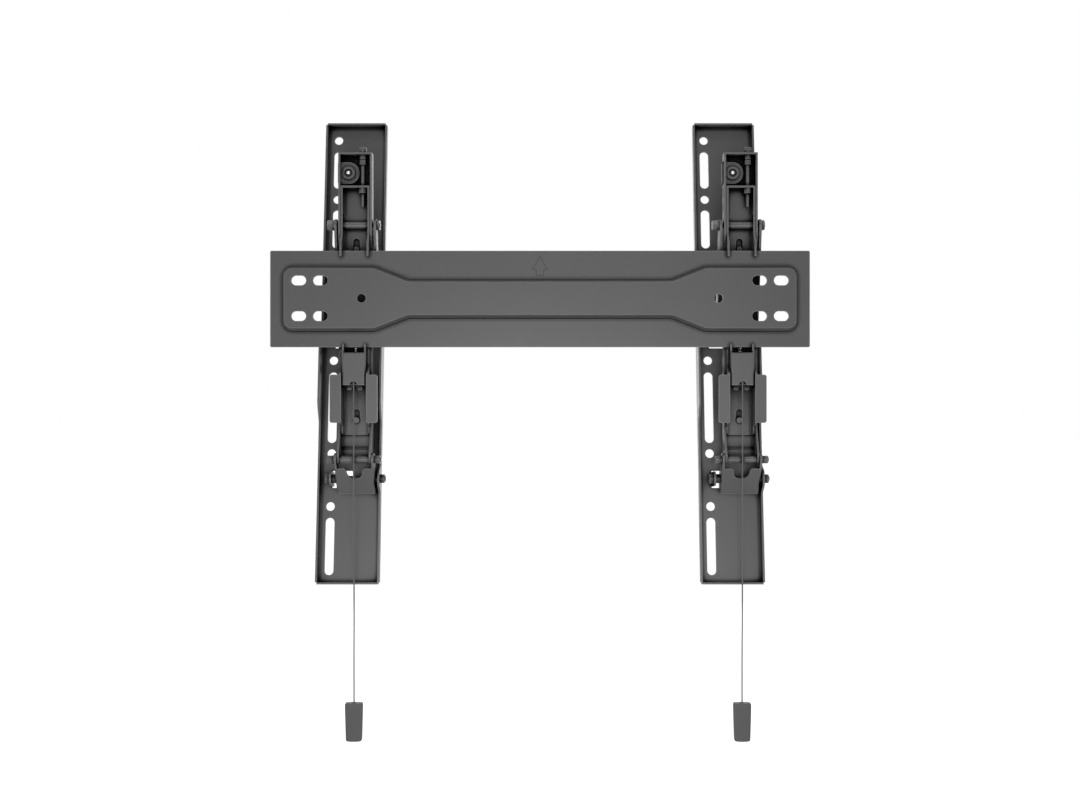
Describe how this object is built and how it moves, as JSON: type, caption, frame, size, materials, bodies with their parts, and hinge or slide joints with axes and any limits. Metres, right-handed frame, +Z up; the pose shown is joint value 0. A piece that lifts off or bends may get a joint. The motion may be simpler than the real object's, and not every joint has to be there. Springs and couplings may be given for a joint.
{
  "type": "tilting tv wall bracket",
  "caption": "Flat wall plate with two hook-on arms that slide along it; each arm carries an upright slotted rail on a tilting four-bar linkage, a levelling bolt and a pull-cord latch.",
  "frame": {"origin": "middle of the wall plate's raised field, on the wall plane", "axes": "+Y from the wall towards the screen, +X along the plate, to the right when the back of the bracket is looked at from the wall, +Z up"},
  "size_m": [0.558, 0.0847, 0.6542],
  "materials": {
    "powder_coat": "matt powder coat",
    "black_zinc": "black zinc plate",
    "bright_zinc": "bright zinc plate",
    "cord": "woven cord",
    "grip": "moulded, matt"
  },
  "bodies": {
    "wall_plate": {"wall_plate": "powder_coat"},
    "left_arm": {"left_hook_channel": "powder_coat", "left_level_nut": "black_zinc", "left_latch_pins": "black_zinc", "left_latch_spring": "bright_zinc"},
    "left_latch": {"left_latch": "powder_coat", "left_cord_knot": "cord", "left_pull_cord": "cord", "left_pull_handle": "grip"},
    "left_hanger": {"left_hanger": "powder_coat", "left_guide_rivets": "black_zinc", "left_tongue_plate": "powder_coat", "left_tongue_nut": "black_zinc", "left_tongue_stud": "bright_zinc", "left_upper_pivot_bolt": "black_zinc", "left_upper_pivot_nut": "black_zinc", "left_upper_pivot_sleeve": "black_zinc", "left_lower_pivot_bolt": "black_zinc", "left_lower_pivot_nut": "black_zinc", "left_lower_pivot_sleeve": "black_zinc"},
    "left_level_bolt": {"left_level_bolt": "black_zinc", "left_level_collars": "black_zinc"},
    "left_upper_links": {"left_upper_link_head_side": "powder_coat", "left_upper_link_nut_side": "powder_coat", "left_link_rivets": "black_zinc"},
    "left_lower_link": {"left_lower_link": "powder_coat"},
    "left_rail": {"left_tv_rail": "powder_coat", "left_rail_pivot_bolt": "black_zinc", "left_rail_pivot_nut": "black_zinc", "left_rail_pivot_spacers": "black_zinc"},
    "right_arm": {"right_hook_channel": "powder_coat", "right_level_nut": "black_zinc", "right_latch_pins": "black_zinc", "right_latch_spring": "bright_zinc"},
    "right_latch": {"right_latch": "powder_coat", "right_cord_knot": "cord", "right_pull_cord": "cord", "right_pull_handle": "grip"},
    "right_hanger": {"right_hanger": "powder_coat", "right_guide_rivets": "black_zinc", "right_tongue_plate": "powder_coat", "right_tongue_nut": "black_zinc", "right_tongue_stud": "bright_zinc", "right_upper_pivot_bolt": "black_zinc", "right_upper_pivot_nut": "black_zinc", "right_upper_pivot_sleeve": "black_zinc", "right_lower_pivot_bolt": "black_zinc", "right_lower_pivot_nut": "black_zinc", "right_lower_pivot_sleeve": "black_zinc"},
    "right_level_bolt": {"right_level_bolt": "black_zinc", "right_level_collars": "black_zinc"},
    "right_upper_links": {"right_upper_link_head_side": "powder_coat", "right_upper_link_nut_side": "powder_coat", "right_link_rivets": "black_zinc"},
    "right_lower_link": {"right_lower_link": "powder_coat"},
    "right_rail": {"right_tv_rail": "powder_coat", "right_rail_pivot_bolt": "black_zinc", "right_rail_pivot_nut": "black_zinc", "right_rail_pivot_spacers": "black_zinc"}
  },
  "joints": [
    {"name": "left_arm_slide", "type": "slide", "parent": "wall_plate", "child": "left_arm", "axis": [1, 0, 0], "range_m": [-0.06, 0.14]},
    {"name": "left_height_slide", "type": "slide", "parent": "left_arm", "child": "left_hanger", "axis": [0, 0, 1], "range_m": [0, 0.008]},
    {"name": "left_level_bolt_turn", "type": "hinge", "parent": "left_hanger", "child": "left_level_bolt", "pos_m": [-0.1841, 0.015, 0.15], "axis": [0, 0, 1], "range_deg": [0, 4120]},
    {"name": "left_upper_link_pivot", "type": "hinge", "parent": "left_hanger", "child": "left_upper_links", "pos_m": [-0.1917, 0.0168, 0.0774], "axis": [-1, 0, 0], "range_deg": [-10.02, 7.6]},
    {"name": "left_lower_link_pivot", "type": "hinge", "parent": "left_hanger", "child": "left_lower_link", "pos_m": [-0.1917, 0.007, -0.1659], "axis": [-1, 0, 0], "range_deg": [-24.6, 18.65]},
    {"name": "left_tilt", "type": "hinge", "parent": "left_lower_link", "child": "left_rail", "pos_m": [-0.1917, 0.01954, -0.18648], "axis": [-1, 0, 0], "range_deg": [-22.08, 29.12]},
    {"name": "left_latch_slide", "type": "slide", "parent": "left_arm", "child": "left_latch", "axis": [0, 0, -1], "range_m": [0, 0.006], "stiffness_N_per_m": 300, "springref_m": -0.02, "deforming": ["left_latch_spring"]},
    {"name": "right_arm_slide", "type": "slide", "parent": "wall_plate", "child": "right_arm", "axis": [1, 0, 0], "range_m": [-0.14, 0.06]},
    {"name": "right_height_slide", "type": "slide", "parent": "right_arm", "child": "right_hanger", "axis": [0, 0, 1], "range_m": [0, 0.008]},
    {"name": "right_level_bolt_turn", "type": "hinge", "parent": "right_hanger", "child": "right_level_bolt", "pos_m": [0.2159, 0.015, 0.15], "axis": [0, 0, 1], "range_deg": [0, 4120]},
    {"name": "right_upper_link_pivot", "type": "hinge", "parent": "right_hanger", "child": "right_upper_links", "pos_m": [0.2083, 0.0168, 0.0774], "axis": [-1, 0, 0], "range_deg": [-10.02, 7.6]},
    {"name": "right_lower_link_pivot", "type": "hinge", "parent": "right_hanger", "child": "right_lower_link", "pos_m": [0.2083, 0.007, -0.1659], "axis": [-1, 0, 0], "range_deg": [-24.6, 18.65]},
    {"name": "right_tilt", "type": "hinge", "parent": "right_lower_link", "child": "right_rail", "pos_m": [0.2083, 0.01954, -0.18648], "axis": [-1, 0, 0], "range_deg": [-22.08, 29.12]},
    {"name": "right_latch_slide", "type": "slide", "parent": "right_arm", "child": "right_latch", "axis": [0, 0, -1], "range_m": [0, 0.006], "stiffness_N_per_m": 300, "springref_m": -0.02, "deforming": ["right_latch_spring"]}
  ],
  "couplings": [
    {"joint": "left_level_bolt_turn", "follows": "left_height_slide", "rad_per_m": 8976},
    {"joint": "left_upper_link_pivot", "follows": "left_tilt", "ratio": -0.34375},
    {"joint": "left_lower_link_pivot", "follows": "left_tilt", "ratio": -0.84375},
    {"joint": "right_level_bolt_turn", "follows": "right_height_slide", "rad_per_m": 8976},
    {"joint": "right_upper_link_pivot", "follows": "right_tilt", "ratio": -0.34375},
    {"joint": "right_lower_link_pivot", "follows": "right_tilt", "ratio": -0.84375}
  ]
}
